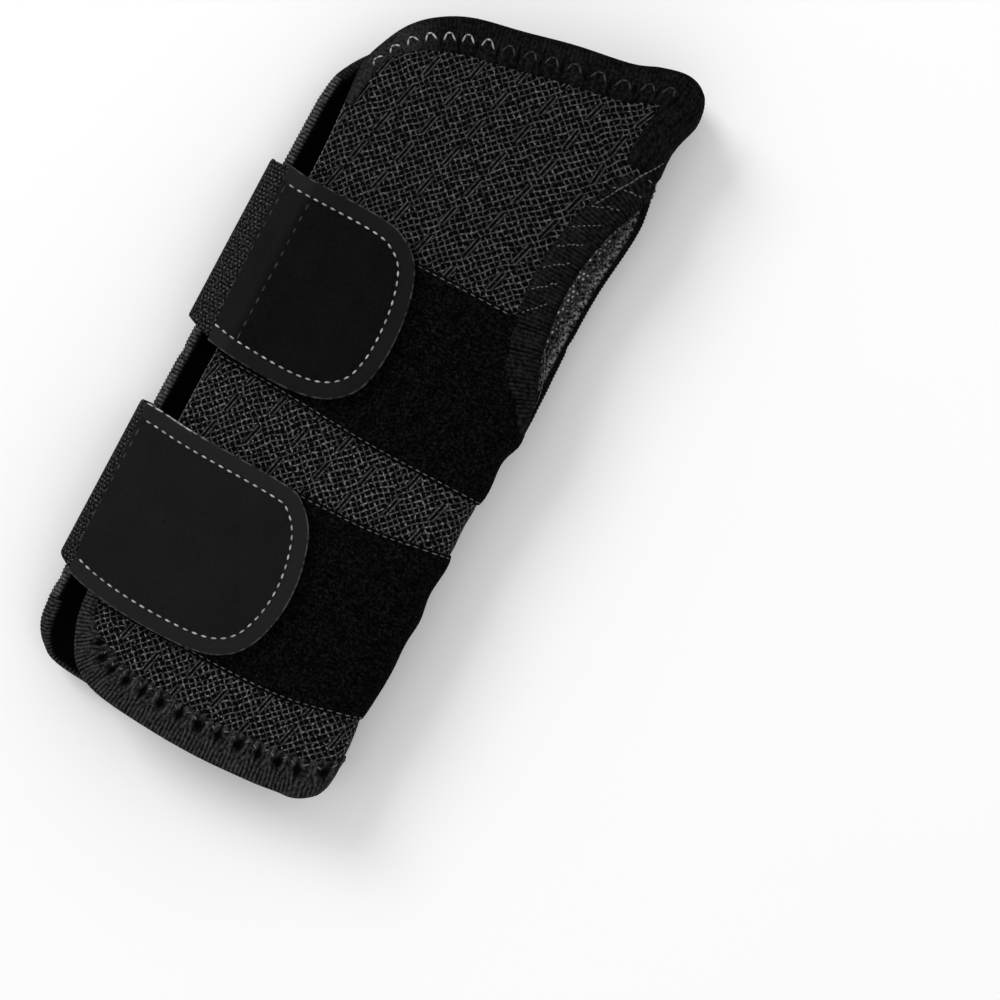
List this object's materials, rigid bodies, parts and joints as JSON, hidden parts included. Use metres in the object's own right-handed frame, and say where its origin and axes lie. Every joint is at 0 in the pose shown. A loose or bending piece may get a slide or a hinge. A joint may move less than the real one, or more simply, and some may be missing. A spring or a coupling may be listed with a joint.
{
  "type": "wrist guard",
  "caption": "Padded wrap-round wrist guard with a thumb hole in its fold, hook-and-loop straps and a removable flat stay in a palm-side pocket.",
  "frame": {"origin": "under the middle of the guard's box, on the surface that it lies on", "axes": "+X towards the thumb, +Y towards the fingers, +Z from the palm side to the back of the hand"},
  "size_m": [0.0945, 0.2165, 0.028],
  "materials": {
    "jacquard": "black fishnet jacquard cloth, matt",
    "velour": "deep black brushed loop, matt",
    "foam": "closed-cell foam, matt",
    "spacer_mesh": "grey spacer mesh",
    "binding": "black ribbed binding tape",
    "pocket_cloth": "black plain-weave cloth",
    "elastic": "black knitted elastic",
    "nubuck": "charcoal nubuck, matt",
    "hook": "moulded hook tape",
    "stay_metal": "brushed"
  },
  "bodies": {
    "root": {"palm_panel": "jacquard", "upper_loop_tail": "velour", "lower_loop_tail": "velour", "palm_foam": "foam", "palm_lining": "spacer_mesh", "palm_finger_tape": "binding", "palm_cuff_tape": "binding", "palm_edge_tape": "binding", "palm_thumb_tape": "binding", "stay_pocket": "pocket_cloth", "upper_strap_anchor": "elastic", "lower_strap_anchor": "elastic"},
    "dorsal_leaf": {"hand_panel": "jacquard", "wrist_panel": "jacquard", "cuff_panel": "jacquard", "upper_loop_band": "velour", "lower_loop_band": "velour", "dorsal_foam": "foam", "dorsal_lining": "spacer_mesh", "dorsal_finger_tape": "binding", "dorsal_cuff_tape": "binding", "dorsal_edge_tape": "binding", "dorsal_thumb_tape": "binding"},
    "upper_strap": {"upper_strap_web": "elastic", "upper_strap_tab": "nubuck", "upper_strap_hook": "hook"},
    "lower_strap": {"lower_strap_web": "elastic", "lower_strap_tab": "nubuck", "lower_strap_hook": "hook"},
    "stay": {"palm_stay": "stay_metal"}
  },
  "joints": [
    {"name": "leaf_open", "type": "hinge", "parent": "root", "child": "dorsal_leaf", "pos_m": [0.0445, 0, 0.0135], "axis": [0, 1, 0], "range_deg": [0, 12]},
    {"name": "upper_strap_peel", "type": "hinge", "parent": "dorsal_leaf", "child": "upper_strap", "pos_m": [-0.0472, 0, 0.0128], "axis": [0, -1, 0], "range_deg": [0, 165]},
    {"name": "lower_strap_peel", "type": "hinge", "parent": "dorsal_leaf", "child": "lower_strap", "pos_m": [-0.0472, 0, 0.0128], "axis": [0, -1, 0], "range_deg": [0, 165]},
    {"name": "stay_slide", "type": "slide", "parent": "root", "child": "stay", "axis": [0, -1, 0], "range_m": [0, 0.17]}
  ]
}
